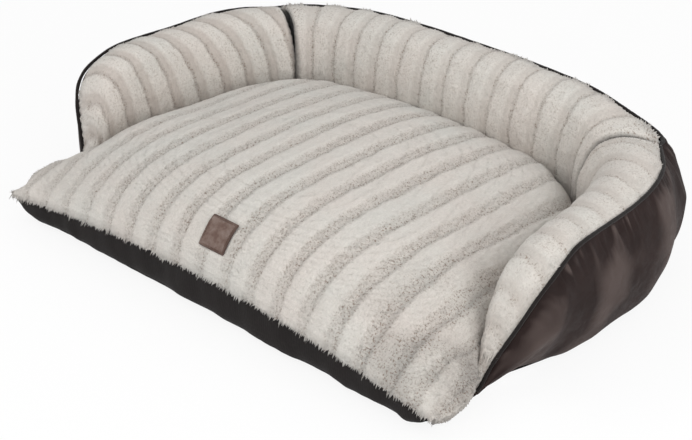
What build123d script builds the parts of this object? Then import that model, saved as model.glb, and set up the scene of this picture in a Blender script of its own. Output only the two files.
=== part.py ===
from build123d import *
from math import atan, cos, hypot, radians, sin
import os

os.makedirs("parts", exist_ok=True)

# Overall sizes of the bed
nest_width = 800.0  # between the arms, at their front
nest_depth = 557.0  # front seam of the cushion to the face of the back
arm_thickness = 97.0
arm_height = 216.0
back_thickness = 129.0
back_height = 243.0
corner_thickness = 172.0  # along the sewn corner between arm and back
seat_height = 182.0
seam_turn = 7.0  # front seam to where the side seams start down
seam_side_start = 45.0  # front seam to where they run level

# Fabrics, seams and clearances
plush_thickness = 5.0
panel_thickness = 2.0
filling_clearance = 2.2
neighbour_clearance = 0.3
piping_diameter = 6.0
flat_cut = 0.5
overrun = 20.0

# Leather patch on the front of the cushion
patch_size = 50.0
patch_thickness = 1.6
patch_corner_radius = 1.5
patch_offset = 22.0  # its centre, right of the middle of the bed
patch_setback = 27.0  # its centre, behind the front seam
stitch_length = 3.6
stitch_width = 0.9
stitch_height = 0.6
stitch_margin = 3.2
stitches_per_side = 9

# Zip low on the outside of the back
zip_length = 360.0
zip_floor_gap = 10.0
tape_width = 12.0
tape_thickness = 1.0
teeth_width = 5.0
teeth_thickness = 2.0
teeth_core_width = 2.6
tooth_pitch = 4.0
tooth_width = 2.0
stop_length = 4.0
stop_edge_radius = 0.5
slider_length = 12.0
slider_width = 9.0
slider_wall = 1.4
slider_corner_radius = 2.0
slider_clearance = 0.3
bail_length = 7.0
bail_width = 2.0
bail_gap = 2.2
bail_wall = 1.0
pull_length = 24.0
pull_width = 7.0
pull_thickness = 1.4
pull_corner_radius = 1.5
pull_eye_clearance = 0.3

# Places that follow from these sizes
bed_depth = nest_depth + back_thickness
front_y = -bed_depth / 2
back_line_y = front_y + nest_depth
nest_half = nest_width / 2
piping_radius = piping_diameter / 2


# Outline of an arm or of the back, in shares of its width and height
# inner foot, inner face, shoulder, rim, outer belly, outer hem, outer foot
foot_share = 0.06
face_share = (0.0, 0.62)
shoulder_share = (0.16, 0.93)
belly_share = (1.0, 0.50)
hem_reach_share = 0.45
back_hem_share = (0.825, 0.19)
back_foot_share = 0.825
# How far each stretch bows out, as a share of its own length
face_bow_share = 0.013
shoulder_bow_share = 0.07
crown_bow_share = 0.20
rim_bow_share = 0.055
belly_bow_share = 0.05
hem_bow_share = 0.06

# Sewn corner between arm and back: along the nest, across it, angle, rim, foot
corner_share = (0.0575, 0.745)
corner_angle = 33.0
corner_rim_shares = (0.71, 0.94)
corner_foot_share = 0.80
corner_hem_share = 0.10
corner_crown_share = 0.15

# Arm from the corner to its nose: along, across, angle, width, height,
# rim across, rim up, foot, hem height
arm_shares = [
    (0.084, 0.805, 20.0, 1.56, 1.00, 0.76, 0.95, 0.80, 0.09),
    (0.125, 0.868, 9.0, 1.43, 1.00, 0.79, 0.955, 0.76, 0.08),
    (0.205, 0.915, 0.0, 1.35, 0.99, 0.80, 0.955, 0.71, 0.08),
    (0.330, 0.955, 0.0, 1.19, 0.985, 0.82, 0.96, 0.66, 0.09),
    (0.474, 0.982, 0.0, 1.07, 1.00, 0.84, 0.96, 0.55, 0.12),
    (0.580, 0.995, 0.0, 0.99, 0.985, 0.87, 0.935, 0.38, 0.16),
    (0.6445, 0.9975, 0.0, 0.955, 0.91, 0.90, 0.915, 0.26, 0.18),
    (0.680, 1.0025, 0.0, 0.85, 0.80, 0.91, 0.90, 0.21, 0.20),
    (0.707, 1.010, 0.0, 0.65, 0.60, 0.87, 0.84, 0.20, 0.20),
    (0.729, 1.020, 0.0, 0.43, 0.38, 0.76, 0.78, 0.22, 0.20),
    (0.756, 1.035, 0.0, 0.23, 0.19, 0.70, 0.72, 0.30, 0.25),
    (0.781, 1.045, 0.0, 0.12, 0.08, 0.68, 0.70, 0.40, 0.30),
]

# Back from its middle to the corner: along, across, angle, width, height, hem bow
back_shares = [
    (0.0, 0.0, 90.0, 1.0, 1.0, 0.0),
    (0.0, 0.15, 90.0, 1.0, 1.0, 0.0),
    (0.0, 0.30, 90.0, 1.0, 0.995, 0.0),
    (0.0, 0.44, 90.0, 1.0, 0.985, 0.0),
    (0.0, 0.57, 90.0, 1.0, 0.967, 0.0),
    (0.013, 0.655, 76.0, 1.0, 0.945, 0.0),
    (0.032, 0.71, 57.0, 1.12, 0.915, 0.0),
]
back_rim_shares = (0.73, 0.945)

# Cushion from its front seam to its back edge: along, half width, seam height,
# shoulder across, shoulder up, crown, foot across, foot up, belly
seat_shares = [
    (1.000, 1.132, 0.222, 0.860, 0.310, 0.462, 0.86, 0.200, 0.418),
    (0.998, 1.131, 0.221, 0.858, 0.330, 0.515, 0.86, 0.145, 0.260),
    (0.993, 1.128, 0.218, 0.855, 0.362, 0.580, 0.86, 0.095, 0.135),
    (0.978, 1.120, 0.212, 0.845, 0.420, 0.675, 0.86, 0.045, 0.052),
    (0.955, 1.110, 0.205, 0.830, 0.470, 0.772, 0.86, 0.014, 0.014),
    (0.937, 1.104, 0.200, 0.820, 0.513, 0.828, 0.86, 0.004, 0.003),
    (0.917, 1.100, 0.196, 0.810, 0.557, 0.868, 0.86, 0.0, 0.0),
    (0.855, 1.088, 0.195, 0.792, 0.660, 0.942, 0.86, 0.0, 0.0),
    (0.790, 1.047, 0.205, 0.782, 0.730, 0.984, 0.87, 0.0, 0.0),
    (0.707, 1.030, 0.260, 0.785, 0.775, 1.000, 0.89, 0.0, 0.0),
    (0.582, 1.022, 0.341, 0.790, 0.780, 1.000, 0.92, 0.0, 0.0),
    (0.456, 1.008, 0.341, 0.790, 0.750, 0.995, 0.92, 0.0, 0.0),
    (0.330, 0.985, 0.341, 0.790, 0.740, 0.980, 0.92, 0.0, 0.0),
    (0.205, 0.945, 0.341, 0.790, 0.740, 0.938, 0.92, 0.0, 0.0),
    (0.106, 0.848, 0.341, 0.790, 0.740, 0.872, 0.92, 0.0, 0.0),
    (0.043, 0.730, 0.341, 0.790, 0.715, 0.800, 0.92, 0.0, 0.0),
    (-0.020, 0.600, 0.341, 0.790, 0.635, 0.708, 0.92, 0.0, 0.0),
]
seam_side_share = 0.07
side_bow_share = 0.13
under_bow_share = 0.12
seam_corner_share = 0.222
seam_middle_share = 0.44

# A joint is a corner when the sine of its turn is over this share
sharp_corner_share = 0.85
# Covers are no thicker than this share of a section's width, at the noses
cover_limit_share = 0.12
# Sections along each run of piping
piping_steps = 24


def left_normal(start, end):
    run = (end[0] - start[0], end[1] - start[1])
    length = hypot(*run)
    return (-run[1] / length, run[0] / length)


def turned(direction, angle):
    return (
        direction[0] * cos(angle) - direction[1] * sin(angle),
        direction[0] * sin(angle) + direction[1] * cos(angle),
    )


def inset(outline, depths):
    """Moves each stretch of a closed outline inwards by its own depth."""
    joints, bows = outline
    count = len(joints)
    moved = []
    for index in range(count):
        before = index - 1
        after = (index + 1) % count
        ending = turned(left_normal(joints[before], joints[index]), -2 * atan(2 * bows[before]))
        starting = turned(left_normal(joints[index], joints[after]), 2 * atan(2 * bows[index]))
        cross = ending[0] * starting[1] - ending[1] * starting[0]
        along = ending[0] * starting[0] + ending[1] * starting[1]
        first = depths[before]
        second = depths[index]
        if abs(cross) < sharp_corner_share:
            reach = (first + second) / 2 / (1 + along)
            shift = (-(ending[0] + starting[0]) * reach, -(ending[1] + starting[1]) * reach)
        else:
            shift = (
                -(first * starting[1] - second * ending[1]) / cross,
                -(second * ending[0] - first * starting[0]) / cross,
            )
        moved.append((joints[index][0] + shift[0], joints[index][1] + shift[1]))
    return moved, bows


def draw_stretch(start, end, bow):
    """Draws one stretch of an outline as an arc, or as a line when it is straight."""
    if bow == 0:
        Line(start, end)
        return
    normal = left_normal(start, end)
    rise = bow * hypot(end[0] - start[0], end[1] - start[1])
    middle = ((start[0] + end[0]) / 2 + normal[0] * rise, (start[1] + end[1]) / 2 + normal[1] * rise)
    ThreePointArc(start, middle, end)


def draw_closed(outline):
    joints, bows = outline
    for index in range(len(joints)):
        draw_stretch(joints[index], joints[(index + 1) % len(joints)], bows[index])


def draw_strip(outer, inner, first, last):
    """Draws the band between two outlines, from one joint to another."""
    count = len(outer[0])
    steps = [index % count for index in range(first, last)]
    for index in steps:
        draw_stretch(outer[0][index], outer[0][(index + 1) % count], outer[1][index])
    Line(outer[0][last % count], inner[0][last % count])
    for index in reversed(steps):
        draw_stretch(inner[0][(index + 1) % count], inner[0][index], -inner[1][index])
    Line(inner[0][first], outer[0][first])


# Stations of the arms and of the back
foot, face, shoulder, rim, belly, hem, outer_foot = range(7)


def section_plane(side, along, across, angle):
    """Upright plane through a point of the nest's edge, looking outwards at an angle."""
    outwards = (side * cos(radians(angle)), sin(radians(angle)), 0)
    facing = (sin(radians(angle)), -side * cos(radians(angle)), 0)
    place = (side * across * nest_half, back_line_y - along * nest_depth, 0)
    return Plane(origin=place, x_dir=outwards, z_dir=facing)


def bolster_outline(width, height, rim_shares, hem_shares, foot_end_share, crown_bow, hem_bow):
    shares = [(foot_share, 0), face_share, shoulder_share, rim_shares, belly_share, hem_shares]
    shares.append((foot_end_share, 0))
    joints = [(across * width, up * height) for across, up in shares]
    bows = [face_bow_share, shoulder_bow_share, crown_bow, rim_bow_share, belly_bow_share, hem_bow, 0]
    return joints, bows


def hem_across(foot_end_share):
    return foot_end_share + (1 - foot_end_share) * hem_reach_share


def corner_station(side):
    plane = section_plane(side, corner_share[0], corner_share[1], corner_angle)
    hem_shares = (hem_across(corner_foot_share), corner_hem_share)
    outline = bolster_outline(
        corner_thickness, arm_height, corner_rim_shares, hem_shares,
        corner_foot_share, corner_crown_share, hem_bow_share,
    )
    return plane, outline


def arm_stations(side):
    stations = [corner_station(side)]
    for along, across, angle, width, height, rim_across, rim_up, foot_end, hem_up in arm_shares:
        outline = bolster_outline(
            width * arm_thickness, height * arm_height, (rim_across, rim_up),
            (hem_across(foot_end), hem_up), foot_end, crown_bow_share, hem_bow_share,
        )
        stations.append((section_plane(side, along, across, angle), outline))
    return stations


def back_half(side):
    stations = []
    for along, across, angle, width, height, hem_bow in back_shares:
        outline = bolster_outline(
            width * back_thickness, height * back_height, back_rim_shares,
            back_hem_share, back_foot_share, crown_bow_share, hem_bow,
        )
        stations.append((section_plane(side, along, across, angle), outline))
    stations.append(corner_station(side))
    return stations


# Covers and fillings of the arms and of the back
cover_depths = [plush_thickness] * 3 + [panel_thickness] * 4
filling_depths = [depth + filling_clearance for depth in cover_depths]
envelope_depths = [-neighbour_clearance] * 7
bare_depths = [0] * 7
filling_end_stations = 4


def limited(depths, outline):
    limit = cover_limit_share * outline[0][belly][0]
    return [min(depth, limit) for depth in depths]


def lofted_cover(stations, first, last):
    with BuildPart() as cover:
        for plane, outline in stations:
            with BuildSketch(plane):
                with BuildLine():
                    draw_strip(outline, inset(outline, limited(cover_depths, outline)), first, last)
                make_face()
        loft()
    return cover.part


def lofted_form(stations, depths):
    with BuildPart() as form:
        for plane, outline in stations:
            with BuildSketch(plane):
                with BuildLine():
                    draw_closed(inset(outline, depths))
                make_face()
        loft()
    return form.part


def rim_place(station):
    plane, outline = station
    return plane.from_local_coords(Vector(*outline[0][rim]))


def piping_along_rim(stations, form, mitred_ends):
    """Round piping laid along a form's rim: square to its run, and on the mitre at sewn corners."""
    start = rim_place(stations[0])
    finish = rim_place(stations[-1])

    def off_rim(edge):
        ends = (edge @ 0, edge @ 1)
        straight = (ends[0] - start).length + (ends[1] - finish).length
        crossed = (ends[1] - start).length + (ends[0] - finish).length
        return min(straight, crossed)

    seam = form.edges().sort_by(off_rim)[0]
    beside = form.faces().sort_by(lambda surface: surface.distance_to(seam @ 0.5))[:2]
    forwards = (seam @ 0 - start).length < (seam @ 1 - start).length
    with BuildPart() as piping:
        for step in range(piping_steps + 1):
            share = step / piping_steps
            place = seam @ share if forwards else seam @ (1 - share)
            run = seam % share if forwards else (seam % (1 - share)) * -1
            outwards = (beside[0].normal_at(place) + beside[1].normal_at(place)).normalized()
            if share in mitred_ends:
                mitre = stations[-int(share)][0].z_dir
                run = mitre if mitre.dot(run) > 0 else mitre * -1
            middle = place + outwards * (piping_radius + neighbour_clearance)
            with BuildSketch(Plane(origin=middle, x_dir=outwards, z_dir=run)):
                with BuildLine():
                    for turn in (0, 120, 240):
                        angles = (turn, turn + 60, turn + 120)
                        points = [Vector(piping_radius, 0).rotate(Axis.Z, angle) for angle in angles]
                        ThreePointArc(*points)
                make_face()
        loft()
    return piping.part


def save(part, label):
    part.label = label
    export_step(part, f"parts/{label}.step")


# Arms: plush inside, smooth panel outside, base, filling and piping on each side
arm_envelopes = []
for side, side_name in ((-1, "left"), (1, "right")):
    stations = arm_stations(side)
    save(lofted_cover(stations, foot, rim), f"{side_name}_arm_inner_panel")
    save(lofted_cover(stations, rim, outer_foot), f"{side_name}_arm_outer_panel")
    save(lofted_cover(stations, outer_foot, outer_foot + 1), f"{side_name}_arm_base")
    save(lofted_form(stations[:-filling_end_stations], filling_depths), f"{side_name}_arm_filling")
    save(piping_along_rim(stations, lofted_form(stations, bare_depths), (0,)), f"{side_name}_arm_piping")
    arm_envelopes.append(lofted_form(stations, envelope_depths))

# Back: the same pieces, from one sewn corner to the other, and a hem under its outer panel
back_stations = list(reversed(back_half(-1)))[:-1] + back_half(1)
back_inner_panel = lofted_cover(back_stations, foot, rim)
save(back_inner_panel, "back_inner_panel")
save(lofted_cover(back_stations, rim, hem), "back_outer_panel")
save(lofted_cover(back_stations, outer_foot, outer_foot + 1), "back_base")
save(lofted_form(back_stations, filling_depths), "back_filling")
save(piping_along_rim(back_stations, lofted_form(back_stations, bare_depths), (0, 1)), "back_piping")
back_envelope = lofted_form(back_stations, envelope_depths)

# Upright hem of the back, where the zip is sewn in; outwards is its normal
wall_y = back_line_y + back_foot_share * back_thickness
window_height = 2 * tape_width + teeth_width
zip_middle_z = zip_floor_gap + window_height / 2
zip_wall = Plane(origin=(0, wall_y, zip_middle_z), x_dir=(-1, 0, 0), z_dir=(0, 1, 0))
tape_plane = zip_wall.offset(tape_thickness - panel_thickness)
chain_plane = tape_plane.offset(teeth_thickness)

with BuildPart() as back_hem_panel:
    add(lofted_cover(back_stations, hem, outer_foot))
    with BuildSketch(zip_wall):
        Rectangle(zip_length, window_height)
    extrude(amount=overrun, both=True, mode=Mode.SUBTRACT)
save(back_hem_panel.part, "back_hem_panel")

# Zip: two tapes that meet under the row of teeth, and a stop at each end of the row
for tape_name, tape_side in (("upper", 1), ("lower", -1)):
    with BuildPart() as tape:
        with BuildSketch(tape_plane):
            with Locations((0, tape_side * window_height / 4)):
                Rectangle(zip_length, window_height / 2)
        extrude(amount=-tape_thickness)
    save(tape.part, f"zip_{tape_name}_tape")

teeth_length = zip_length - 2 * stop_length
tooth_count = int(teeth_length / tooth_pitch)
with BuildPart() as zip_teeth:
    with BuildSketch(tape_plane):
        Rectangle(teeth_length, teeth_core_width)
        with GridLocations(tooth_pitch, 0, tooth_count, 1):
            Rectangle(tooth_width, teeth_width)
    extrude(amount=teeth_thickness)
save(zip_teeth.part, "zip_teeth")

for stop_name, stop_side in (("left", 1), ("right", -1)):
    with BuildPart() as stop:
        with BuildSketch(tape_plane):
            with Locations((stop_side * (teeth_length + stop_length) / 2, 0)):
                Rectangle(stop_length, slider_width)
        extrude(amount=teeth_thickness)
        fillet(stop.faces().sort_by(Axis.Y)[-1].edges(), stop_edge_radius)
    save(stop.part, f"zip_{stop_name}_stop")

# Slider: a plate over the teeth, a flange down each side of them, and a bail on its face
slider_rest = -(teeth_length - slider_length) / 2 + slider_clearance
slider_flange = (slider_width - teeth_width) / 2 - slider_clearance
plate_plane = chain_plane.offset(slider_clearance)
bail_plane = Plane(
    origin=plate_plane.from_local_coords(Vector(slider_rest, 0, slider_wall)),
    x_dir=(-1, 0, 0), z_dir=(0, 0, -1),
)
with BuildPart() as zip_slider:
    with BuildSketch(plate_plane):
        with Locations((slider_rest, 0)):
            RectangleRounded(slider_length, slider_width, slider_corner_radius)
    extrude(amount=slider_wall)
    with BuildSketch(plate_plane):
        with Locations((slider_rest, 0)):
            with GridLocations(0, slider_width - slider_flange, 1, 2):
                Rectangle(slider_length - 2 * slider_corner_radius, slider_flange)
    extrude(amount=-teeth_thickness)
    with BuildSketch(bail_plane) as bail_profile:
        Rectangle(bail_length, bail_gap + bail_wall, align=(Align.CENTER, Align.MIN))
        fillet(bail_profile.vertices().group_by(Axis.Y)[-1], bail_wall)
        Rectangle(bail_length - 2 * bail_wall, bail_gap, align=(Align.CENTER, Align.MIN), mode=Mode.SUBTRACT)
    extrude(amount=bail_width / 2, both=True)
save(zip_slider.part, "zip_slider")

# Pull: a tab whose eye goes round the bail, with a round end bar that turns in it
eye_length = hypot(bail_length / 2, bail_gap / 2 + bail_wall) + pull_eye_clearance
pull_plane = plate_plane.offset(slider_wall + (bail_gap - pull_thickness) / 2)
pull_pin_radius = pull_thickness / 2
tab_length = pull_length - pull_pin_radius
pull_pin_plane = Plane(
    origin=pull_plane.from_local_coords(Vector(slider_rest, -pull_width / 2, pull_pin_radius)),
    x_dir=(1, 0, 0), z_dir=(0, 0, 1),
)
with BuildPart() as zip_pull:
    with BuildSketch(pull_plane) as tab_profile:
        with Locations((slider_rest - tab_length / 2, 0)):
            Rectangle(tab_length, pull_width)
        fillet(tab_profile.vertices().group_by(Axis.X)[0], pull_corner_radius)
        with Locations((slider_rest - eye_length / 2, 0)):
            Rectangle(eye_length, bail_width + 2 * pull_eye_clearance, mode=Mode.SUBTRACT)
    extrude(amount=pull_thickness)
    with BuildSketch(pull_pin_plane):
        Circle(pull_pin_radius)
    extrude(amount=pull_width)
save(zip_pull.part, "zip_pull")


# Cushion
seat_half_depth = nest_depth / 2
seat_middle_y = back_line_y - seat_half_depth


def seat_outline(shares, cover, floor):
    """One upright section of the cushion, drawn in by the cover and raised off the floor."""
    along, half, seam_up, shoulder_across, shoulder_up, crown_up, foot_across, foot_up, belly_up = shares
    slimmer = 1 - cover / nest_half
    lower = (seat_height - cover - floor) / seat_height
    half_width = half * nest_half * slimmer
    ups = [up * seat_height * lower + floor for up in (seam_up, shoulder_up, crown_up, foot_up, belly_up)]
    seam_z, shoulder_z, crown_z, foot_z, belly_z = ups
    shoulder_x = shoulder_across * half_width
    foot_x = foot_across * half_width
    joints = [
        (-half_width, seam_z), (-shoulder_x, shoulder_z), (shoulder_x, shoulder_z),
        (half_width, seam_z), (foot_x, foot_z), (-foot_x, foot_z),
    ]
    crown_bow = (crown_z - shoulder_z) / (2 * shoulder_x)
    belly_bow = (foot_z - belly_z) / (2 * foot_x)
    bows = [side_bow_share, crown_bow, side_bow_share, under_bow_share, belly_bow, under_bow_share]
    place_y = back_line_y - along * nest_depth
    if place_y < seat_middle_y:
        place_y = seat_middle_y + (place_y - seat_middle_y) * (1 - cover / seat_half_depth)
    return Plane(origin=(0, place_y, 0), x_dir=(1, 0, 0), z_dir=(0, -1, 0)), (joints, bows)


def seat_form(cover, floor):
    """Crowned closed form of the cushion, inside a cover of this thickness, cut flat below."""
    with BuildPart() as form:
        for shares in seat_shares:
            plane, outline = seat_outline(shares, cover, floor - flat_cut)
            with BuildSketch(plane):
                with BuildLine():
                    draw_closed(outline)
                make_face()
        loft()
        split(bisect_by=Plane.XY.offset(floor))
    return form.part


# Everything under the cushion's sewn edge: high along the front, low along the sides
seam_corner_z = seam_corner_share * seat_height
seam_middle_z = seam_middle_share * seat_height
seam_side_z = seam_side_share * seat_height
seat_half_width = seat_shares[0][1] * nest_half
with BuildPart() as below_seam:
    with BuildSketch(Plane.XZ.offset(-bed_depth)):
        with BuildLine():
            ThreePointArc(
                (-seat_half_width, seam_corner_z), (0, seam_middle_z), (seat_half_width, seam_corner_z),
            )
            Polyline(
                (seat_half_width, seam_corner_z), (seat_half_width + overrun, seam_corner_z),
                (seat_half_width + overrun, -overrun), (-seat_half_width - overrun, -overrun),
                (-seat_half_width - overrun, seam_corner_z), (-seat_half_width, seam_corner_z),
            )
        make_face()
    extrude(amount=2 * bed_depth)
    with BuildSketch(Plane.YZ.offset(-seat_half_width - overrun)):
        with BuildLine():
            Polyline(
                (front_y - overrun, seat_height), (front_y + seam_turn, seat_height),
                (front_y + seam_turn, seam_corner_z), (front_y + seam_side_start, seam_side_z),
                (back_line_y + overrun, seam_side_z), (back_line_y + overrun, -overrun),
                (front_y - overrun, -overrun), close=True,
            )
        make_face()
    extrude(amount=2 * (seat_half_width + overrun), mode=Mode.INTERSECT)


def beside_bolsters():
    """Takes away what the arms and the back press out of the cushion."""
    add(back_envelope, mode=Mode.SUBTRACT)
    add(back_inner_panel, mode=Mode.SUBTRACT)
    for envelope in arm_envelopes:
        add(envelope, mode=Mode.SUBTRACT)


seat_outside = seat_form(0, 0)

with BuildPart() as seat_top_panel:
    add(seat_outside)
    add(seat_form(plush_thickness, panel_thickness), mode=Mode.SUBTRACT)
    add(below_seam.part, mode=Mode.SUBTRACT)
    beside_bolsters()
save(seat_top_panel.part, "seat_top_panel")

with BuildPart() as seat_base_panel:
    add(seat_outside)
    add(seat_form(panel_thickness, panel_thickness), mode=Mode.SUBTRACT)
    add(below_seam.part, mode=Mode.INTERSECT)
    beside_bolsters()
save(seat_base_panel.part, "seat_base_panel")

with BuildPart() as seat_filling:
    add(seat_form(plush_thickness + filling_clearance, panel_thickness + filling_clearance))
    beside_bolsters()
save(seat_filling.part, "seat_filling")

# Leather patch, laid on the cushion's front slope, and its row of stitches
patch_y = front_y + patch_setback


def outermost(shape, line):
    """Last point where a line leaves a shape, with the surface's outward direction there."""
    hits = [hit for surface in shape.faces() for hit in surface.find_intersection_points(line)]
    return max(hits, key=lambda hit: hit[0].dot(line.direction))


patch_point, patch_facing = outermost(seat_outside, Axis((patch_offset, patch_y, 0), (0, 0, 1)))
patch_plane = Plane(origin=patch_point, x_dir=(1, 0, 0), z_dir=patch_facing)

with BuildPart() as label_patch:
    with BuildSketch(patch_plane):
        RectangleRounded(patch_size, patch_size, patch_corner_radius)
    extrude(amount=overrun, both=True)
    add(seat_form(-neighbour_clearance - patch_thickness, -patch_thickness), mode=Mode.INTERSECT)
    add(seat_form(-neighbour_clearance, -neighbour_clearance), mode=Mode.SUBTRACT)
save(label_patch.part, "label_patch")

stitch_row = patch_size / 2 - stitch_margin
stitch_step = 2 * stitch_row / stitches_per_side
with BuildPart() as patch_stitching:
    for turn in (0, 90, 180, 270):
        row_run = patch_plane.x_dir * cos(radians(turn)) + patch_plane.y_dir * sin(radians(turn))
        for index in range(stitches_per_side):
            row_place = ((index + 0.5) * stitch_step - stitch_row, stitch_row)
            above = patch_plane.from_local_coords(Vector(*turned(row_place, radians(turn))))
            seat, facing = outermost(label_patch.part, Axis(above, patch_facing))
            with BuildSketch(Plane(origin=seat, x_dir=row_run, z_dir=facing)):
                SlotOverall(stitch_length, stitch_width)
            extrude(amount=stitch_height)
save(patch_stitching.part, "patch_stitching")
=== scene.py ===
import random
from math import cos, exp, floor, hypot, pi, radians, sin

import bmesh
import bpy
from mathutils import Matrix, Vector, noise
from mathutils.bvhtree import BVHTree


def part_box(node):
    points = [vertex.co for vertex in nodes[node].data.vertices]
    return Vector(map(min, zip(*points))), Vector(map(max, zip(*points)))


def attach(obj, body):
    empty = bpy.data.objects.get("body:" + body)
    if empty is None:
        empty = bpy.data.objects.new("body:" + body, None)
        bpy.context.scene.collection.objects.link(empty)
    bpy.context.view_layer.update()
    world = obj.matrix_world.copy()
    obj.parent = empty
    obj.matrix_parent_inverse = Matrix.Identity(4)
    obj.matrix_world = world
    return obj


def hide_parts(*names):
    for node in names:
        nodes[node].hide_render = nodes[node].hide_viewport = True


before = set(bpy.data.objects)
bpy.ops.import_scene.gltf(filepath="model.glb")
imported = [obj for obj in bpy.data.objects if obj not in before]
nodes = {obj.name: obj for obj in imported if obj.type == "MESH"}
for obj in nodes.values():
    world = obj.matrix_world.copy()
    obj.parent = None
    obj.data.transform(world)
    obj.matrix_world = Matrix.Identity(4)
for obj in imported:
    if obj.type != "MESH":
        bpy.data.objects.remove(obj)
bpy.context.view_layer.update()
scene = bpy.context.scene

# Camera, with the place and the lens that were fitted to the photograph
camera_down, camera_turn = 30.2294, 42.3133
camera_data = bpy.data.cameras.new("camera")
camera_data.sensor_width = 36.0
camera_data.lens = 79.08
camera_data.shift_x = 0.00526
camera_data.shift_y = -0.00006
camera_data.clip_end = 50.0
camera = bpy.data.objects.new("camera", camera_data)
camera.location = (1.42415, -1.58963, 1.26500)
camera.rotation_euler = (radians(90 - camera_down), 0, radians(camera_turn))
scene.collection.objects.link(camera)
scene.camera = camera
scene.view_settings.view_transform = "Standard"


# Node helpers

def new_material(name):
    material = bpy.data.materials.new(name)
    material.use_nodes = True
    tree = material.node_tree
    return material, tree, tree.nodes["Principled BSDF"]


def feed(tree, node, inputs):
    """Links other nodes' outputs to a node's inputs, and writes plain values into the rest."""
    for key, value in inputs.items():
        if isinstance(value, bpy.types.NodeSocket):
            tree.links.new(value, node.inputs[key])
        else:
            node.inputs[key].default_value = value


def add_node(tree, kind, inputs=None, **settings):
    node = tree.nodes.new(kind)
    for key, value in settings.items():
        setattr(node, key, value)
    feed(tree, node, inputs or {})
    return node


def maths(tree, operation, *values):
    return add_node(tree, "ShaderNodeMath", dict(enumerate(values)), operation=operation).outputs[0]


def mapped(tree, value, low, high, to_low, to_high):
    """A value's range stretched to another one and held at both ends."""
    inputs = dict(enumerate((value, low, high, to_low, to_high)))
    return add_node(tree, "ShaderNodeMapRange", inputs).outputs[0]


def scaled_colour(tree, colour, factor):
    node = add_node(tree, "ShaderNodeVectorMath", {0: colour, 1: factor}, operation="MULTIPLY")
    return node.outputs[0]


def blend_colours(tree, share, low, high):
    """A mix of two colours, each from another node or plain."""
    inputs = {0: share}
    for key, colour in ((6, low), (7, high)):
        inputs[key] = (*colour, 1.0) if isinstance(colour, tuple) else colour
    return add_node(tree, "ShaderNodeMix", inputs, data_type="RGBA").outputs[2]


def ramp(tree, source, stops):
    node = add_node(tree, "ShaderNodeValToRGB", {0: source})
    elements = node.color_ramp.elements
    while len(elements) < len(stops):
        elements.new(0.5)
    for element, (place, colour) in zip(elements, stops):
        element.position = place
        element.color = (*colour, 1.0)
    return node.outputs["Color"]


def own_place(tree):
    return tree.nodes.new("ShaderNodeTexCoord").outputs["Object"]


def attribute(tree, name):
    return add_node(tree, "ShaderNodeAttribute", attribute_name=name).outputs["Fac"]


def mottle(tree, place, scale, detail, roughness=0.5, distortion=0.0):
    """Soft random patches, 0 to 1."""
    inputs = {
        "Vector": place, "Scale": scale, "Detail": detail, "Roughness": roughness,
        "Distortion": distortion,
    }
    return add_node(tree, "ShaderNodeTexNoise", inputs).outputs["Fac"]


def bumped(tree, shader, height, strength, distance):
    inputs = {"Height": height, "Strength": strength, "Distance": distance}
    bump = add_node(tree, "ShaderNodeBump", inputs)
    tree.links.new(bump.outputs["Normal"], shader.inputs["Normal"])


def new_group(name, inputs, outputs):
    group = bpy.data.node_groups.new(name, "ShaderNodeTree")
    for label, kind, value in inputs:
        socket = group.interface.new_socket(name=label, in_out="INPUT", socket_type=kind)
        if value is not None:
            socket.default_value = value
    for label, kind in outputs:
        group.interface.new_socket(name=label, in_out="OUTPUT", socket_type=kind)
    entry = group.nodes.new("NodeGroupInput")
    return group, entry.outputs, group.nodes.new("NodeGroupOutput")


def place_group(tree, group, **inputs):
    return add_node(tree, "ShaderNodeGroup", inputs, node_tree=group).outputs


# Shared effects

def make_cloth_weave():
    """Two sets of crossing threads, with lint and wear over them."""
    group, given, out = new_group(
        "cloth weave",
        [("Scale", "NodeSocketFloat", 900.0), ("Tone", "NodeSocketColor", (0.05, 0.05, 0.05, 1.0))],
        [("Colour", "NodeSocketColor"), ("Height", "NodeSocketFloat"),
         ("Roughness", "NodeSocketFloat")],
    )
    place = own_place(group)
    axes = add_node(group, "ShaderNodeSeparateXYZ", {0: place}).outputs
    waves = []
    for axis in ("X", "Y"):
        slanted = maths(group, "ADD", axes[axis], axes["Z"])
        waves.append(maths(group, "SINE", maths(group, "MULTIPLY", slanted, given["Scale"])))
    lint = mottle(group, place, 260.0, 4.0, 0.7)
    wear = mottle(group, place, 9.0, 3.0, 0.6)
    level = mapped(group, maths(group, "ADD", lint, wear), 0.7, 1.3, 0.75, 1.35)
    feed(group, out, {
        "Colour": scaled_colour(group, given["Tone"], level),
        "Height": maths(group, "ADD", maths(group, "MULTIPLY", *waves), lint),
        "Roughness": mapped(group, wear, 0.3, 0.7, 0.72, 0.92),
    })
    return group


def make_worn_tone():
    """One tone that wears through to another in patches."""
    group, given, out = new_group(
        "worn tone",
        [("Scale", "NodeSocketFloat", 60.0), ("Tone", "NodeSocketColor", None),
         ("Worn", "NodeSocketColor", None)],
        [("Colour", "NodeSocketColor"), ("Mask", "NodeSocketFloat")],
    )
    patches = mottle(group, own_place(group), given["Scale"], 5.0, 0.65)
    mask = mapped(group, patches, 0.38, 0.66, 0.0, 1.0)
    colour = blend_colours(group, mask, given["Tone"], given["Worn"])
    feed(group, out, {"Colour": colour, "Mask": mask})
    return group


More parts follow.
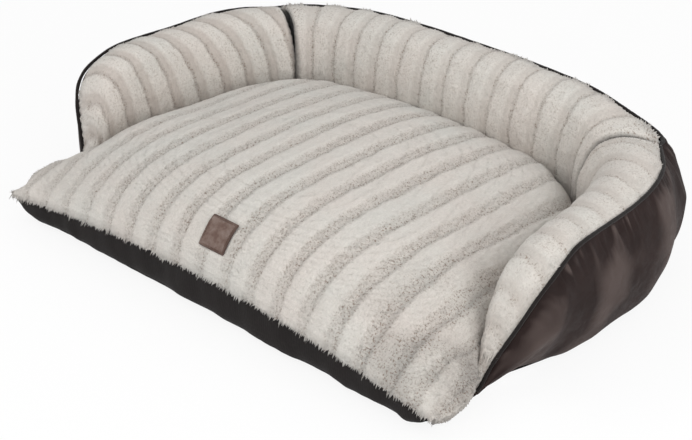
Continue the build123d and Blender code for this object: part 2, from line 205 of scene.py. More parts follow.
def make_pile():
    """Colour and fine relief of the fur, from masks for ribs, tips, furrows and painted shade in
    creases and shadowed spots.
    """
    group, given, out = new_group(
        "pile",
        [("Place", "NodeSocketVector", None), ("Rib", "NodeSocketFloat", 1.0),
         ("Tip", "NodeSocketFloat", 1.0), ("Furrow", "NodeSocketFloat", 0.0),
         ("Shade", "NodeSocketFloat", 0.0), ("Depth", "NodeSocketFloat", 0.5)],
        [("Colour", "NodeSocketColor"), ("Height", "NodeSocketFloat")],
    )
    place = own_place(group)
    clouds = mottle(group, place, 9.0, 3.0, 0.6)
    drifts = mottle(group, place, 34.0, 3.0, 0.6)
    grains = mottle(group, place, 330.0, 2.0, 0.6)
    fibres = mottle(group, given["Place"], 1.0, 4.0, 0.75)
    pale = ramp(group, clouds, [
        (0.35, (0.690, 0.645, 0.598)), (0.5, (0.688, 0.656, 0.610)), (0.65, (0.680, 0.662, 0.618)),
    ])
    # Taupe between the ribs: partly the fur's own tone, partly painted shade in the recesses.
    taupe = ramp(group, clouds, [
        (0.35, (0.560, 0.505, 0.462)), (0.5, (0.560, 0.512, 0.468)), (0.65, (0.545, 0.510, 0.470)),
    ])
    fleck, root_shade = (0.30, 0.235, 0.19), (0.47, 0.41, 0.365)
    between_ribs = mapped(group, given["Rib"], 0.1, 0.9, given["Depth"], 0.0)
    colour = blend_colours(group, between_ribs, pale, taupe)
    furrow = maths(group, "MULTIPLY", given["Furrow"], drifts)
    furrow = mapped(group, furrow, 0.05, 0.42, 0.05, 0.95)
    speck = mapped(group, grains, 0.36, 0.47, 1.0, 0.0)
    colour = blend_colours(group, maths(group, "MULTIPLY", speck, furrow), colour, fleck)
    # Painted shade at the base of each tuft, where the Tip mask is 0.
    colour = blend_colours(group, mapped(group, given["Tip"], 0.0, 1.0, 0.14, 0.0), colour, root_shade)
    colour = scaled_colour(group, colour, mapped(group, fibres, 0.3, 0.7, 0.90, 1.07))
    # Painted shade: the Shade mask darkens creases, rib edges and shadowed spots.
    colour = scaled_colour(group, colour, mapped(group, given["Shade"], 0.05, 0.95, 1.0, 0.12))
    feed(group, out, {"Colour": colour, "Height": maths(group, "ADD", fibres, grains)})
    return group


cloth_weave = make_cloth_weave()
worn_tone = make_worn_tone()
pile = make_pile()


# Finishes

def make_plush(name, stretch, depth):
    """Ribbed faux fur: pale ribs, taupe between them that is partly painted shade, flecked edges
    and painted shade at the base of each tuft.
    """
    material, tree, shader = new_material(name)
    combed = add_node(tree, "ShaderNodeMapping", {"Vector": own_place(tree), "Scale": stretch})
    masks = {label: attribute(tree, label.lower()) for label in ("Rib", "Tip", "Furrow", "Shade")}
    coat = place_group(tree, pile, Place=combed.outputs[0], Depth=depth, **masks)
    feed(tree, shader, {
        "Base Color": coat["Colour"], "Roughness": 0.95, "Specular IOR Level": 0.1,
        "Sheen Weight": 0.18, "Sheen Roughness": 0.5,
    })
    bumped(tree, shader, coat["Height"], 0.4, 0.003)
    return material


def make_suede():
    """Dark brushed suede: nap marks, fine grain, fold crests painted paler as rubbed wear and
    painted highlight, and a faint sheen.
    """
    dark, worn = (0.0150, 0.0088, 0.0080, 1.0), (0.0240, 0.0145, 0.0132, 1.0)
    brushed, rubbed = (0.030, 0.020, 0.0182), (0.075, 0.056, 0.051)
    material, tree, shader = new_material("brushed_suede")
    place = own_place(tree)
    grain = mottle(tree, place, 700.0, 3.0, 0.7)
    nap = mottle(tree, place, 55.0, 5.0, 0.6, 0.8)
    colour = place_group(tree, worn_tone, Scale=14.0, Tone=dark, Worn=worn)["Colour"]
    colour = blend_colours(tree, mapped(tree, nap, 0.45, 0.75, 0.0, 0.28), colour, brushed)
    # Fold crests paler: partly rubbed wear, partly painted highlight where the folds catch the
    # light.
    rubbed_and_highlit_folds = mapped(tree, attribute(tree, "fold"), 0.62, 1.0, 0.0, 1.0)
    colour = blend_colours(tree, rubbed_and_highlit_folds, colour, rubbed)
    feed(tree, shader, {
        "Base Color": colour, "Roughness": mapped(tree, nap, 0.3, 0.7, 0.62, 0.85),
        "Specular IOR Level": 0.13, "Sheen Weight": 0.03, "Sheen Roughness": 0.35,
        "Sheen Tint": (0.75, 0.62, 0.58, 1.0),
    })
    bumped(tree, shader, maths(tree, "ADD", grain, nap), 0.35, 0.001)
    return material


def make_woven(name, tone, scale, sheen=0.1):
    material, tree, shader = new_material(name)
    weave = place_group(tree, cloth_weave, Scale=scale, Tone=(*tone, 1.0))
    feed(tree, shader, {
        "Base Color": weave["Colour"], "Roughness": weave["Roughness"], "Specular IOR Level": 0.12,
        "Sheen Weight": sheen,
    })
    bumped(tree, shader, weave["Height"], 0.35, 0.0004)
    return material


def make_leather():
    """Brown leather with scuffs and fine creases, burnt darker along its edges."""
    tone, scuffed = (0.098, 0.052, 0.037, 1.0), (0.195, 0.142, 0.120, 1.0)
    burnt = (0.060, 0.028, 0.018)
    material, tree, shader = new_material("patch_leather")
    place = own_place(tree)
    scuffs = place_group(tree, worn_tone, Scale=70.0, Tone=tone, Worn=scuffed)
    pores = add_node(tree, "ShaderNodeTexVoronoi", {"Vector": place, "Scale": 900.0})
    creases = mottle(tree, place, 210.0, 4.0)
    feed(tree, shader, {
        "Base Color": blend_colours(tree, attribute(tree, "edge"), scuffs["Colour"], burnt),
        "Roughness": mapped(tree, creases, 0.3, 0.7, 0.5, 0.72),
    })
    bumped(tree, shader, maths(tree, "ADD", pores.outputs["Distance"], creases), 0.3, 0.0005)
    return material


def make_coated(name, tone, worn, roughness, metallic):
    """Nylon or enamel, rubbed a little smoother and paler in patches."""
    material, tree, shader = new_material(name)
    finish = place_group(tree, worn_tone, Scale=420.0, Tone=(*tone, 1.0), Worn=(*worn, 1.0))
    feed(tree, shader, {
        "Base Color": finish["Colour"], "Metallic": metallic,
        "Roughness": mapped(tree, finish["Mask"], 0.0, 1.0, roughness, roughness - 0.12),
    })
    bumped(tree, shader, finish["Mask"], 0.08, 0.0002)
    return material


seat_plush = make_plush("cushion_plush", (420.0, 150.0, 300.0), 0.24)
bolster_plush = make_plush("bolster_plush", (330.0, 330.0, 130.0), 1.0)
suede = make_suede()
base_cloth = make_woven("base_cloth", (0.0150, 0.0126, 0.0122), 1400.0, 0.02)
piping_cloth = make_woven("piping_cloth", (0.013, 0.0105, 0.010), 2400.0)
filling_fibre = make_woven("filling_fibre", (0.74, 0.74, 0.71), 500.0)
leather = make_leather()
thread = make_woven("stitch_thread", (0.075, 0.038, 0.025), 5200.0, 0.3)
tape_cloth = make_woven("zip_tape_cloth", (0.016, 0.015, 0.016), 3200.0)
teeth_nylon = make_coated("zip_nylon", (0.020, 0.020, 0.021), (0.034, 0.033, 0.034), 0.42, 0.0)
slider_metal = make_coated("zip_enamel", (0.040, 0.038, 0.038), (0.11, 0.10, 0.095), 0.38, 0.7)


# Mesh helpers

def finished(name, bm, materials, smooth=True):
    """A new object from a mesh, with nothing left below the floor."""
    for vert in bm.verts:
        vert.co.z = max(0.0, vert.co.z)
    mesh = bpy.data.meshes.new(name)
    bm.to_mesh(mesh)
    bm.free()
    for material in materials:
        mesh.materials.append(material)
    if smooth:
        mesh.polygons.foreach_set("use_smooth", [True] * len(mesh.polygons))
    piece = bpy.data.objects.new(name, mesh)
    scene.collection.objects.link(piece)
    return piece


def welded(*names):
    """The listed CAD nodes in one mesh, with their loose triangles joined."""
    bm = bmesh.new()
    for name in names:
        bm.from_mesh(nodes[name].data)
    bmesh.ops.remove_doubles(bm, verts=bm.verts, dist=0.00002)
    return bm


def skin_of(*names):
    bm = welded(*names)
    tree = BVHTree.FromBMesh(bm)
    bm.free()
    return tree


def evenly_meshed(bm, size):
    """One closed skin of even square cells round everything in the mesh."""
    piece = finished("work", bm, [], smooth=False)
    remesh = piece.modifiers.new("even", "REMESH")
    remesh.mode = "VOXEL"
    remesh.voxel_size = size
    evaluated = piece.evaluated_get(bpy.context.evaluated_depsgraph_get())
    even = bmesh.new()
    even.from_mesh(evaluated.to_mesh())
    evaluated.to_mesh_clear()
    bpy.data.objects.remove(piece)
    return even


def largest_shell(bm):
    """Keeps the biggest connected skin and drops any inside it."""
    seen = set()
    shells = []
    bm.verts.ensure_lookup_table()
    for vert in bm.verts:
        if vert.index in seen:
            continue
        stack, shell = [vert], []
        seen.add(vert.index)
        while stack:
            current = stack.pop()
            shell.append(current)
            for edge in current.link_edges:
                other = edge.other_vert(current)
                if other.index not in seen:
                    seen.add(other.index)
                    stack.append(other)
        shells.append(shell)
    shells.sort(key=len, reverse=True)
    spare = [vert for shell in shells[1:] for vert in shell]
    if spare:
        bmesh.ops.delete(bm, geom=spare, context="VERTS")


def smoothstep(low, high, value):
    share = min(1.0, max(0.0, (value - low) / (high - low)))
    return share * share * (3 - 2 * share)


def running_lengths(line):
    """Length along a line of points at each of them."""
    lengths = [0.0]
    for first, second in zip(line, line[1:]):
        lengths.append(lengths[-1] + (second - first).length)
    return lengths


# Bolsters: upright planes swept along each, and the skins that they cut.
# The nest is the space round the cushion that the arms and the back enclose. A station on its
# edge is a share of its depth, a share of its half width, and the plane's heading in degrees.

nest_half, nest_depth, back_line_y = 0.400, 0.557, 0.214
corner_station = (0.0575, 0.745, 33.0)
arm_stations = [
    corner_station, (0.084, 0.805, 20.0), (0.125, 0.868, 9.0), (0.205, 0.915, 0.0),
    (0.330, 0.955, 0.0), (0.474, 0.982, 0.0), (0.580, 0.995, 0.0), (0.6445, 0.9975, 0.0),
    (0.680, 1.0025, 0.0), (0.707, 1.010, 0.0), (0.729, 1.020, 0.0), (0.756, 1.035, 0.0),
    (0.781, 1.045, 0.0),
]
back_stations = [
    (0.0, 0.0, 90.0), (0.0, 0.57, 90.0), (0.013, 0.655, 76.0), (0.032, 0.71, 57.0), corner_station,
]
looks_round = 220
look_from, look_down_from = 0.6, 0.5
same_place = 1e-6
end_inset = 0.004
edge_halvings = 9
probe_step, probe_back, probe_count = 0.002, 0.02, 140
centre_height = 0.42
cap_turns = (22, 42, 60, 75, 85, 89)


def placed(side, stations):
    return [
        (Vector((side * across * nest_half, back_line_y - along * nest_depth, 0)),
         Vector((side * cos(radians(angle)), sin(radians(angle)), 0)))
        for along, across, angle in stations
    ]


def swept(planes, step, reach=0.07):
    """Planes about one step apart, measured at a reach outwards from the nest's edge."""
    made = []
    for (place, way), (next_place, next_way) in zip(planes, planes[1:]):
        gap = ((next_place + next_way * reach) - (place + way * reach)).length
        count = max(1, round(gap / step))
        for index in range(count):
            share = index / count
            made.append((place.lerp(next_place, share), way.lerp(next_way, share).normalized()))
    made.append(planes[-1])
    return made


class Bolster:
    """The CAD nodes of an arm or of the back, cut by upright planes from one end to the other."""

    def __init__(self, prefix, parts, planes, step, window=()):
        named = [(part, f"{prefix}_{part}") for part in parts]
        named += [("hem_panel", name) for name in window]
        places, faces, self.labels = [], [], []
        for part, name in named:
            mesh = nodes[name].data
            first = len(places)
            places += [vert.co.copy() for vert in mesh.vertices]
            faces += [tuple(first + index for index in face.vertices) for face in mesh.polygons]
            self.labels += [part] * len(mesh.polygons)
        self.tree = BVHTree.FromPolygons(places, faces)
        self.sections = []
        for place, way in swept(planes, step):
            for end, near in ((0, 1), (-1, -2)):
                if (place - planes[end][0]).length < same_place:
                    place = place.lerp(planes[near][0], end_inset)
            self.sections.append(self.cut(place, way))

    def cut(self, place, way):
        """A section: its centre, its plane's heading, and what is met on looking in all round."""
        tops = []
        for step in range(probe_count):
            across = step * probe_step - probe_back
            above = place + way * across + Vector((0, 0, look_down_from))
            hit = self.tree.ray_cast(above, Vector((0, 0, -1)))[0]
            if hit is not None:
                tops.append((across, hit.z))
        reach = (tops[0][0] + tops[-1][0]) / 2
        height = max(top for _, top in tops)
        centre = place + way * reach + Vector((0, 0, height * centre_height))
        found = []
        for turn in range(looks_round):
            angle = 2 * pi * turn / looks_round
            label, met = self.look(centre, way, angle)
            found.append((angle, label, met.freeze() if met is not None else None))
        return {"centre": centre, "way": way, "found": found}

    def look(self, centre, way, angle):
        """Label and place of the skin met at an angle: 0 is below, a quarter turn the nest side."""
        ray = way * -sin(angle) + Vector((0, 0, -cos(angle)))
        hit = self.tree.ray_cast(centre + ray * look_from, -ray)
        if hit[0] is None:
            return None, None
        return self.labels[hit[2]], hit[0]

    def run(self, section, part, count):
        """One part's line in a section, end to end, at even spacing."""
        found = section["found"]
        if part == "base":
            half = len(found) // 2
            turned = [(angle - 2 * pi, label, place) for angle, label, place in found[half:]]
            found = turned + found[:half]
        own = unbroken(found, part)
        if not own:
            return None
        line = [found[index][2] for index in own]
        for end, step in ((0, -1), (-1, 1)):
            index = own[end]
            beyond = index + step
            if 0 <= beyond < len(found):
                inside, outside = found[index][0], found[beyond][0]
                best = None
                for _ in range(edge_halvings):
                    middle = (inside + outside) / 2
                    label, place = self.look(section["centre"], section["way"], middle)
                    if label == part:
                        inside, best = middle, place
                    else:
                        outside = middle
                if best is not None:
                    line.insert(0, best) if end == 0 else line.append(best)
        return evenly_spaced(line, count)


def unbroken(found, part):
    """The longest unbroken stretch of looks that met one part."""
    best, own = [], []
    for index, (_, label, _) in enumerate(found + [(0, None, None)]):
        if label == part:
            own.append(index)
        else:
            best, own = max(best, own, key=len), []
    return best


def evenly_spaced(line, count):
    runs = running_lengths(line)
    spaced, index = [], 0
    for step in range(count + 1):
        target = runs[-1] * step / count
        while index < len(runs) - 2 and runs[index + 1] < target:
            index += 1
        gap = runs[index + 1] - runs[index]
        share = (target - runs[index]) / gap if gap > 1e-9 else 0.0
        spaced.append(line[index].lerp(line[index + 1], min(1.0, share)))
    return spaced


def eased(rows, passes):
    """Rows smoothed along the bolster, so that its stations leave no kinks; both ends stay."""
    for _ in range(passes):
        rows = [rows[0]] + [
            [(before + here * 2 + after) / 4 for before, here, after in zip(*near)]
            for near in zip(rows, rows[1:], rows[2:])
        ] + [rows[-1]]
    return rows


def capped(row, centre, beyond):
    """Rows that round a bolster's end off towards its middle."""
    rows = []
    for turn in cap_turns:
        share, onwards = cos(radians(turn)), beyond * sin(radians(turn))
        rows.append([centre + (place - centre) * share + onwards for place in row])
    return rows


def sheet_of(rows):
    """A grid laid through rows of points; each vertex keeps its row and column."""
    bm = bmesh.new()
    last_row, last_column = len(rows) - 1, len(rows[0]) - 1
    bmesh.ops.create_grid(bm, x_segments=last_column, y_segments=last_row, size=0.5)
    row_layer = bm.verts.layers.int.new("row")
    column_layer = bm.verts.layers.int.new("column")
    for vert in bm.verts:
        column = round((vert.co.x + 0.5) * last_column)
        row = round((vert.co.y + 0.5) * last_row)
        vert[row_layer], vert[column_layer] = row, column
        vert.co = rows[row][column]
    return bm


def crest_runs(rows):
    """Distance along a bolster at each row, measured two thirds of the way across the rows."""
    column = len(rows[0]) * 2 // 3
    return running_lengths([row[column] for row in rows])


# Floor, backdrop and light

white = (1.0, 1.0, 1.0, 1.0)
floor_lift = 0.88
light_strength = 0.60


def background_rays(tree):
    """1 for the rays that show the white background: seen directly, mirrored or through glass."""
    path = tree.nodes.new("ShaderNodeLightPath").outputs
    direct_or_mirrored = maths(tree, "MAXIMUM", path["Is Camera Ray"], path["Is Glossy Ray"])
    return maths(tree, "MAXIMUM", direct_or_mirrored, path["Is Transmission Ray"])


def make_floor():
    """Floor that shows nearly white and keeps a part of the bed's shadow."""
    bm = bmesh.new()
    bmesh.ops.create_grid(bm, x_segments=1, y_segments=1, size=12.0)
    material, tree, shader = new_material("studio_floor")
    feed(tree, shader, {
        "Base Color": (0.92, 0.92, 0.92, 1.0), "Roughness": 0.9, "Specular IOR Level": 0.0,
    })
    glow = add_node(tree, "ShaderNodeEmission", {"Color": white, "Strength": 1.0})
    share = maths(tree, "MULTIPLY", background_rays(tree), floor_lift)
    inputs = {0: share, 1: shader.outputs[0], 2: glow.outputs[0]}
    lifted = add_node(tree, "ShaderNodeMixShader", inputs)
    tree.links.new(lifted.outputs[0], tree.nodes["Material Output"].inputs["Surface"])
    floor_piece = finished("floor", bm, [material], smooth=False)


def make_world():
    """Even, softened white light, which the background's own rays see as plain white."""
    world = bpy.data.worlds.new("studio")
    scene.world = world
    world.use_nodes = True
    tree = world.node_tree
    strength = mapped(tree, background_rays(tree), 0.0, 1.0, light_strength, 1.0)
    feed(tree, tree.nodes["Background"], {"Color": white, "Strength": strength})


make_floor()
make_world()
lamps_aim = Vector((0, 0, 0.1))
for name, place, size, power in (
    ("key", (-1.3, -1.2, 2.5), 1.6, 15.0),
    ("front", (1.2, -2.3, 1.9), 2.2, 16.0),
    ("side", (2.4, -0.3, 1.3), 1.8, 27.0),
    ("low", (0.2, -2.6, 0.7), 1.8, 7.0),
    ("rear", (0.8, 2.4, 2.2), 1.8, 8.0),
):
    lamp = bpy.data.lights.new(name, "AREA")
    lamp.size = size
    lamp.energy = power
    holder = bpy.data.objects.new(name, lamp)
    holder.location = place
    holder.rotation_euler = (lamps_aim - Vector(place)).to_track_quat("-Z", "Y").to_euler()
    scene.collection.objects.link(holder)


# Plush: ribs and tufts

cell = 0.0038
seat_pitch = 0.052
bolster_pitch = 0.0485
arm_girth, back_girth = 0.30, 0.31
stuffed_easing = 12
slip_share, lean_share = 0.22, 0.9
patch_low, patch_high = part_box("label_patch")


def rib_shape(run, pitch):
    """Raised share of a rib, 0 to 1, and how near its crisp edge is."""
    risen, top_end, fallen, edge_width = 0.15, 0.54, 0.76, 0.0040
    phase = run / pitch
    phase -= floor(phase)
    rise = smoothstep(0.0, risen, phase)
    fall = 1 - smoothstep(top_end, fallen, phase)
    edge = min(phase, 1 - phase) * pitch
    return rise * fall, exp(-(edge / edge_width) ** 2)


def with_layers(bm):
    """The layers that the plush needs, made before any vertex is held on to."""
    for label in ("furry", "row", "column"):
        if label not in bm.verts.layers.int:
            bm.verts.layers.int.new(label)
    for label in ("run", "rim", "rib", "tip", "furrow", "shade"):
        bm.verts.layers.float.new(label)
    return bm


def stray(rng):
    return Vector((rng.uniform(-1, 1), rng.uniform(-1, 1), rng.uniform(-1, 1)))


def grow_pile(bm, name, finishes, look, seed):
    """Ribs and tufts on the furry part of a stuffed form; the rest is drawn in under its covers.

    look gives a spot's lift, its masks, and its tufts' length, wildness and sweep.
    """
    rng = random.Random(seed)
    bm.normal_update()
    layers = bm.verts.layers
    furry, tip = layers.int["furry"], layers.float["tip"]
    run_layer, rim_layer = layers.float["run"], layers.float["rim"]
    masks = {label: layers.float[label] for label in ("rib", "furrow", "shade")}
    moves = []
    for vert in bm.verts:
        out, place = vert.normal.copy(), vert.co.copy()
        if vert[furry]:
            wander = 0.0060 * noise.noise(place * 7.0) + 0.0026 * noise.noise(place * 38.0)
            values = look(place, vert[run_layer] + wander, vert[rim_layer])
            lumps = 0.0012 * noise.noise(place * 26.0) + 0.0006 * noise.noise(place * 80.0)
            slip = stray(rng) * cell * slip_share
            slip -= out * slip.dot(out)
            place += out * (values["lift"] + lumps) + slip
            for label, layer in masks.items():
                vert[layer] = values[label]
        moves.append((vert, place))
    for vert, place in moves:
        vert.co = place
    bm.normal_update()
    covered = [face for face in bm.faces if all(vert[furry] for vert in face.verts)]
    covered_set = set(covered)
    for face in bm.faces:
        face.material_index = 0 if face in covered_set else 1
    made = bmesh.ops.poke(bm, faces=covered)
    bm.normal_update()
    for vert in made["verts"]:
        around = [edge.other_vert(vert) for edge in vert.link_edges]
        for layer in (run_layer, rim_layer, *masks.values()):
            vert[layer] = sum(other[layer] for other in around) / len(around)
        values = look(vert.co, vert[run_layer], vert[rim_layer])
        out = vert.normal.copy()
        clump = 0.5 + 0.5 * noise.noise(vert.co * 55.0)
        uneven = 0.7 + 0.5 * rng.random() + values["wild"] * (rng.random() - 0.3)
        length = values["tuft"] * uneven * (0.8 + 0.4 * clump)
        lean = values["sweep"] + stray(rng) * 0.5
        lean -= out * lean.dot(out)
        vert.co += (out + lean * lean_share) * length
        vert[tip] = 1.0
    piece = finished(name, bm, finishes)
    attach(piece, "bed")
    return piece


def under_patch(place):
    """1 where the leather patch lies over the pile, 0 clear of it."""
    soft = 0.0015
    across = smoothstep(-soft, soft, min(place.x - patch_low.x, patch_high.x - place.x))
    upwards = smoothstep(-soft, soft, min(place.z - patch_low.z, patch_high.z - place.z))
    return across * upwards * (1.0 if place.y < patch_high.y + 0.006 else 0.0)


def seat_cushion():
    """The lying cushion: ribs from front to back, which run on down its flanks."""
    skin, core = skin_of("seat_top_panel"), skin_of("seat_filling")
    lower = skin_of("seat_base_panel")
    bm = evenly_meshed(welded("seat_top_panel", "seat_filling"), cell)
    largest_shell(with_layers(bm))
    bm.normal_update()
    edge_x, front_y, spacing, count = 0.385, -0.34, 0.01, 56
    crown = []
    for step in range(count):
        hit = skin.ray_cast(Vector((edge_x, front_y + step * spacing, 1.0)), Vector((0, 0, -1)))[0]
        crown.append(hit.z if hit is not None else (crown[-1] if crown else 0.05))
    furry, run = bm.verts.layers.int["furry"], bm.verts.layers.float["run"]
    rib_start, flank_share, drawn_in = 0.1945, 0.95, 0.001
    for vert in bm.verts:
        hit, facing, _, gap = skin.find_nearest(vert.co)
        inner = core.find_nearest(vert.co)
        vert[furry] = gap < inner[3] and facing.dot(vert.normal) > 0.2
        vert.co = hit if vert[furry] else inner[0] - vert.normal * drawn_in
        spot = min(count - 2.0, max(0.0, (vert.co.y - front_y) / spacing))
        before = int(spot)
        edge_height = crown[before] + (crown[before + 1] - crown[before]) * (spot - before)
        drop = max(0.0, edge_height - vert.co.z) * smoothstep(0.375, 0.42, abs(vert.co.x))
        down_flank = drop * flank_share
        vert[run] = vert.co.x + rib_start + (down_flank if vert.co.x > 0 else -down_flank)

    def look(place, run, _rim):
        rib, crisp = rib_shape(run, seat_pitch)
        low = 1 - rib
        covered = under_patch(place)
        near_front = 1 - smoothstep(-0.338, -0.300, place.y)
        ear = smoothstep(0.40, 0.44, abs(place.x))
        relief = 1 - 0.35 * near_front - 0.35 * ear
        relief *= 0.62 + 0.38 * smoothstep(-0.34, -0.02, place.x)
        uneven = noise.noise(place * 9.0 + Vector((3.0, 1.0, 0.0)))
        relief *= 0.80 + 0.20 * smoothstep(-0.3, 0.3, uneven)
        fringe = 1 - smoothstep(0.001, 0.010, lower.find_nearest(place)[3])
        # Near the right arm: a taupe, flecked mottle, and painted shadow of the arm through the
        # shade mask.
        mottle_and_shadow = smoothstep(0.22, 0.40, place.x) * smoothstep(0.04, 0.24, -place.y)
        mottle_and_shadow *= 0.35 + 0.65 * smoothstep(-0.25, 0.30, noise.noise(place * 15.0))
        swell = smoothstep(0.392, 0.425, abs(place.x)) * smoothstep(-0.33, -0.30, place.y)
        swell *= smoothstep(0.198, 0.226, -place.y)
        return {
            "lift": 0.0115 * swell - 0.0028 * low * relief - 0.0006 * crisp - 0.0026 * covered,
            "rib": 1 - min(1.0, low * relief + 1.6 * mottle_and_shadow),
            "furrow": min(1.0, low * 0.75 * relief + 0.6 * crisp + 0.8 * mottle_and_shadow),
            "shade": 0.17 * crisp * relief + 0.30 * mottle_and_shadow,
            "tuft": (0.0013 + 0.0008 * low + 0.0034 * fringe + 0.0020 * swell) * (1 - covered),
            "wild": 0.55 * fringe,
            "sweep": Vector((0.0, -0.75, -0.35 - 1.2 * fringe)),
        }

    piece = grow_pile(bm, "seat_cushion", [seat_plush, filling_fibre], look, seed=11)
    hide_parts("seat_top_panel", "seat_filling")


def mitre_gap(place):
    """Distance from the nearest sewn corner between an arm and the back."""
    seam_start = -0.03
    gaps = []
    for side in (-1, 1):
        origin, way = placed(side, [corner_station])[0]
        offset = place - origin
        if offset.dot(way) > seam_start:
            gaps.append(abs(offset.x * way.y - offset.y * way.x))
    return min(gaps) if gaps else 1.0


def tucked_line(section, furry_run):
    """The hidden rest of a section, from the plush's rim round to its foot, below the covers."""
    columns, depth, underside_end = 36, 0.0080, pi * 0.6
    found = section["found"]
    kept = {look for look in found if look[1] == "base"}
    for part in ("outer_panel", "hem_panel"):
        kept |= {found[index] for index in unbroken(found, part)}
    hidden = [look for look in found if look in kept]
    round_the_back = [place for angle, _, place in hidden if angle > underside_end]
    under = [place for angle, _, place in hidden if angle <= underside_end]
    around = evenly_spaced([furry_run[-1]] + round_the_back + under + [furry_run[0]], columns)
    return [
        place + (section["centre"] - place).normalized()
        * (depth * smoothstep(0.0, 1.4, min(index, columns - index)))
        for index, place in enumerate(around[1:], 1)
    ]


def stuffed_bolster(name, bolster, count, start, slant, contrast, relief, fluff, seed, replaced):
    """Closed stuffed arm or back: plush from foot to rim, drawn in below the other covers."""
    end_bulge, at_mitre = 0.006, 0.02
    sections = bolster.sections[::2]
    rows = []
    for section in sections:
        furry_run = bolster.run(section, "inner_panel", count)
        rows.append(furry_run + tucked_line(section, furry_run))
    rows = eased(rows, stuffed_easing)
    runs = crest_runs([row[:count + 1] for row in rows])
    rise = running_lengths(rows[len(rows) // 2][:count + 1])
    centres = [section["centre"] for section in sections]
    for end, near in ((0, 1), (-1, -2)):
        bulge = end_bulge if mitre_gap(centres[end]) > at_mitre else 0.0
        caps = capped(rows[end], centres[end], (centres[end] - centres[near]).normalized() * bulge)
        rows = caps[::-1] + rows if end == 0 else rows + caps
        more = [runs[end]] * len(caps)
        runs = more + runs if end == 0 else runs + more
    bm = with_layers(sheet_of(rows))
    row_layer, column_layer = bm.verts.layers.int["row"], bm.verts.layers.int["column"]
    furry = bm.verts.layers.int["furry"]
    run, rim = bm.verts.layers.float["run"], bm.verts.layers.float["rim"]
    for vert in bm.verts:
        column = vert[column_layer]
        vert[furry] = column <= count
        if column <= count:
            vert[run] = runs[vert[row_layer]] + start - slant * (1 - column / count)
            vert[rim] = rise[-1] - rise[column]
    bmesh.ops.remove_doubles(bm, verts=bm.verts, dist=0.00005)
    bmesh.ops.holes_fill(bm, edges=[edge for edge in bm.edges if edge.is_boundary], sides=0)
    bmesh.ops.recalc_face_normals(bm, faces=bm.faces)

    def look(place, run, rim):
        rib, crisp = rib_shape(run, bolster_pitch)
        low = 1 - rib
        inside = smoothstep(0.002, 0.030, rim)
        gap = mitre_gap(place)
        crevice = exp(-(gap / 0.0058) ** 2)
        worn = exp(-(gap / 0.030) ** 2) * (1 - smoothstep(0.03, 0.09, rim))
        ribbed = relief * (-0.0024 * low - 0.0014 * crisp) * (0.3 + 0.7 * inside)
        patchy = 0.15 + 0.85 * smoothstep(-0.1, 0.3, noise.noise(place * 26.0))
        return {
            "lift": ribbed - 0.011 * crevice * (0.1 + 0.9 * inside),
            # rib: 0 between the ribs, where the taupe is partly painted shade in the recesses
            "rib": 1 - contrast * low * (0.5 + 0.5 * inside),
            "furrow": min(1.0, 0.34 * rib + 0.9 * crisp + worn),
            "shade": min(1.0, crevice * (0.35 + 0.65 * inside) + 0.20 * relief * crisp),
            "tuft": 0.0011 + fluff * (1 - inside) * patchy,
            "wild": 1 - inside,
            "sweep": Vector((0.0, 0.0, -0.8 * inside)),
        }

    piece = grow_pile(bm, name, [bolster_plush, filling_fibre], look, seed)
    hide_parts(*replaced)


seat_cushion()
bolsters = {}
for side, sign, contrast, relief in (("left_arm", -1, 1.0, 1.0), ("right_arm", 1, 0.6, 0.4)):
    parts = ("inner_panel", "outer_panel", "base", "filling")
    bolsters[side] = Bolster(side, parts, placed(sign, arm_stations), cell / 2)
    stuffed_bolster(
        f"{side}_cushion", bolsters[side], round(arm_girth / cell), start=0.012, slant=-0.055,
        contrast=contrast, relief=relief, fluff=0.0022, seed=23,
        replaced=(f"{side}_inner_panel", f"{side}_filling"),
    )
bolsters["back"] = Bolster(
    "back", ("inner_panel", "outer_panel", "hem_panel", "base", "filling"),
    list(reversed(placed(-1, back_stations)))[:-1] + placed(1, back_stations), cell / 2,
    window=("zip_upper_tape", "zip_lower_tape"),
)
stuffed_bolster(
    "back_cushion", bolsters["back"], round(back_girth / cell), start=0.010, slant=0.0,
    contrast=0.5, relief=0.8, fluff=0.0048, seed=31,
    replaced=("back_inner_panel", "back_filling"),
)


# Smooth covers: outer panels, hem, undersides and the cushion's base

cover_wall = 0.0016
cover_easing = 40
fold_range = 0.006
piping_cover, under_along, under_in = 0.0032, 0.0026, 0.0016
lip_out, lip_in = 0.003, 0.004
suede_drop, base_columns, hem_columns = 0.24, 6, 12
underside_cell = 0.0048


